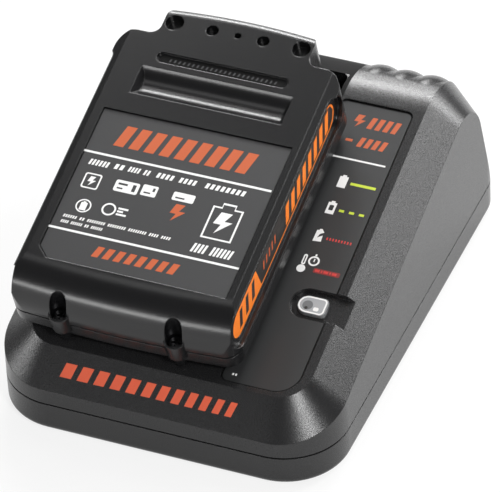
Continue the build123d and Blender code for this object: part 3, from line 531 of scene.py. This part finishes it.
def panel_art():
    """Charge signs on the indicator panel, each with its light pattern, and painted shade along
    its groove.
    """
    orange = [bolt(26.2, 115.4, 5.0)] + row(31.0, 41.0, 115.6, 120.2, 4, 0.62, 1.0)
    orange += [bar(26.0, 109.4, 28.4, 110.4)] + row(30.2, 39.4, 108.0, 111.8, 4, 0.62, 0.9)
    steady = bar(33.7, 92.9, 42.4, 93.9)
    slow = row(33.7, 42.3, 82.05, 82.95, 3, 0.5)
    fast = row(33.6, 42.1, 70.6, 71.6, 9, 0.45)
    capsule = rounded(33.7, 57.6, 42.7, 59.4, 0.5)
    long_short = [bar(x, 58.05, x + length, 58.95) for x, length in
                  ((34.3, 1.5), (36.3, 0.4), (37.2, 1.5), (39.2, 0.4), (40.1, 1.5))]
    # painted shade of the panel's groove, a dark band just inside its edge
    edge = panel_path(0.3) + panel_path(0.62)[::-1]
    for name, loops, colour, lift in (("panel_orange", orange, "orange", 0.0),
                                      ("panel_white", panel_signs(), "white", 0.0),
                                      ("panel_green", [steady] + slow, "green", 0.0),
                                      ("panel_red", fast, "red", 0.0),
                                      ("panel_capsule", [capsule], "dull_red", 0.0),
                                      ("panel_pattern", long_short, "red", INK),
                                      ("panel_groove_shade", [edge], "black", 0.0)):
        printed(name, loops, ON_PANEL, "charger", colour, lift)


def lens_outline(inset):
    """Outline of the lens, round on the left."""
    half = LENS_HALF - inset
    corner = LENS_HALF / 2 - inset
    right = LENS_RIGHT - inset - corner
    return arcs(((right, half - corner, corner, 0, 90), (LENS_LEFT + LENS_HALF, 0, half, 90, 270),
                 (right, corner - half, corner, 270, 360)))


def lens_art():
    """Painted light in the lens of the status light: a painted highlight on its rim, a painted
    reflection round the grey cup, painted shade in the cup and a painted glint.
    """
    cup_x, cup_y, cup_r = 36.5, -0.3, 1.7
    hole = disc(cup_x, cup_y, cup_r + INK)
    for name, loops, colour, lift in (
            ("lens_rim_highlight", [lens_outline(0.1), lens_outline(0.65)], "white", 0.0),
            ("lens_painted_reflection", [lens_outline(0.7), hole], "painted_reflection", 0.0),
            ("lens_cup", [disc(cup_x, cup_y, cup_r)], "cup", 0.0),
            ("lens_shade", [disc(cup_x - 0.2, cup_y - 1.1, 0.55)], "dark", INK),
            ("lens_glint", [rounded(38.7, -2.0, 40.5, -0.6, 0.5)], "white", INK)):
        printed(name, loops, ON_LENS, "charger", colour, lift)


# ---- pieces of the scene's own ----

def ridge_level(s):
    """Level of the ridge against the deck at a place up the slope."""
    over = max(0.0, s - (RIDGE_S - RIDGE_R))
    return math.sqrt(RIDGE_R ** 2 - over ** 2) - RIDGE_R


def painted_shade_sheet(name, x0, x1, s0, s1, steps=12):
    """Thin dark sheet of painted shade that follows the deck and the ridge."""
    thick, proud = 0.15, 0.06
    corners = []
    for i in range(steps + 1):
        s = s0 + (s1 - s0) * i / steps
        top = ridge_level(s) + proud
        for x, n in ((x0, top), (x1, top), (x1, top - thick), (x0, top - thick)):
            corners.append(dock_point(x, s, n) * MM)
    faces = [(3, 2, 1, 0), tuple(4 * steps + k for k in range(4))]
    for i in range(steps):
        for k in range(4):
            a, b = 4 * i + k, 4 * i + (k + 1) % 4
            faces.append((a, b, b + 4, a + 4))
    mesh = bpy.data.meshes.new(name)
    mesh.from_pydata(corners, [], faces)
    own_piece(name, mesh, INKS["black"], "charger")


def dock_rear():
    """Painted shade at the rear of the dock: one dark sheet behind the well and one along each
    side of it.
    """
    side, side_start, overlap = 1.4, 122.0, 0.1
    # painted shade behind the well and along its sides
    painted_shade_sheet("dock_rear_painted_shade", DOCK_LEFT, DOCK_RIGHT, DOCK_REAR - overlap, DOCK_END)
    painted_shade_sheet("dock_side_painted_shade_right", DOCK_RIGHT - side, DOCK_RIGHT, side_start, DOCK_REAR)
    painted_shade_sheet("dock_side_painted_shade_left", DOCK_LEFT, DOCK_LEFT + side, side_start, DOCK_REAR)


def coil_spring():
    """Latch spring in spring steel, a piece of the scene's own that rides on the pack in place of
    the imported one.
    """
    piece = own_piece("coil_spring", frame["nodes"]["latch_spring"].data.copy(),
                      MATERIALS["spring_steel"], "pack")
    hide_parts("latch_spring")
    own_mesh(piece)


# ---- floor and light ----

def background_share(nodes, seen, mirrored):
    """Share of plain white to the camera and through glass, and the share in reflections."""
    path = nodes.add("ShaderNodeLightPath").outputs
    through = nodes.maths("MAXIMUM", path["Is Camera Ray"], path["Is Transmission Ray"])
    return nodes.maths("MAXIMUM", nodes.maths("MULTIPLY", through, seen),
                       nodes.maths("MULTIPLY", path["Is Glossy Ray"], mirrored))


def paper_white():
    """Mostly plain white to the camera, less so in reflections, and darker in a shadow."""
    material, nodes = new_material("floor_white")
    grain = nodes.add("ShaderNodeTexNoise", Scale=900.0)
    tone = nodes.between(0.86, 0.90, grain.outputs["Fac"])
    paper = nodes.add("ShaderNodeBsdfDiffuse", Color=tone)
    white = nodes.add("ShaderNodeEmission", Color=(1, 1, 1, 1), Strength=1.0)
    share = background_share(nodes, FLOOR_SEEN, FLOOR_MIRRORED)
    mixed = nodes.add("ShaderNodeMixShader", share, paper.outputs[0], white.outputs[0])
    nodes.add("ShaderNodeOutputMaterial", Surface=mixed.outputs[0])
    return material


def make_floor():
    """Plain pale floor."""
    half = FLOOR_HALF * MM
    mesh = bpy.data.meshes.new("floor")
    corners = [(-half, -half, 0), (half, -half, 0), (half, half, 0), (-half, half, 0)]
    mesh.from_pydata(corners, [], [(0, 1, 2, 3)])
    mesh.materials.append(paper_white())
    floor = new_object("floor", mesh)


def soft_light(name, azimuth, elevation, power, width=0.32, height=0.32):
    """Soft box aimed at the object, in degrees, watts and metres."""
    away = direction(math.radians(azimuth), math.radians(elevation))
    data = bpy.data.lights.new(name, "AREA")
    data.shape = "RECTANGLE"
    data.size, data.size_y = width, height
    data.energy = power
    light = new_object(name, data)
    light.location = LIGHT_DISTANCE * MM * away
    aim = Vector(LIGHT_TARGET) * MM - light.location
    light.rotation_euler = aim.to_track_quat("-Z", "Y").to_euler()


def make_lights():
    """Key from the front right, soft boxes behind, and low ones for the rounded edges."""
    soft_light("key", 44, 40, 7.2, 0.2, 0.2)
    soft_light("rear_right", 144, 32, 7.6)
    soft_light("rear_right_low", 135, 12, 1.1)
    soft_light("rear_top", 180, 52, 5.6)
    soft_light("rear", 203, 38, 5.0, 0.3, 0.2)
    soft_light("rear_low", 200, 23, 2.0, 0.35, 0.16)
    soft_light("rear_middle", 172, 28, 0.9, 0.3, 0.3)
    soft_light("rear_left", 225, 52, 1.2)
    soft_light("overhead", 144, 72, 2.0)
    soft_light("overhead_left", 288, 72, 0.5)
    soft_light("right", 117, 37, 2.0, 0.2, 0.2)
    soft_light("front_band", 340, 10, 3.2, 0.5, 0.12)
    soft_light("left_low", 294, 18, 2.6, 0.4, 0.2)


def make_world():
    """Dim even surroundings, plain white to the camera and faint in reflections."""
    world = bpy.data.worlds.new("studio")
    world.use_nodes = True
    bpy.context.scene.world = world
    nodes = Nodes(world.node_tree)
    dim = nodes.add("ShaderNodeBackground", Color=(1, 1, 1, 1), Strength=WORLD_DIM)
    white = nodes.add("ShaderNodeBackground", Color=(1, 1, 1, 1), Strength=1.0)
    share = background_share(nodes, WORLD_SEEN, WORLD_MIRRORED)
    mixed = nodes.add("ShaderNodeMixShader", share, dim.outputs[0], white.outputs[0])
    nodes.add("ShaderNodeOutputWorld", Surface=mixed.outputs[0])


make_camera()
make_floor()
make_world()
make_lights()
paint_nodes()
front_art()
label_art()
strip_art("strip_right", ON_RIGHT, 1)
strip_art("strip_left", ON_LEFT, -1)
panel_art()
lens_art()
dock_rear()
coil_spring()

bpy.context.scene.view_settings.view_transform = "Standard"
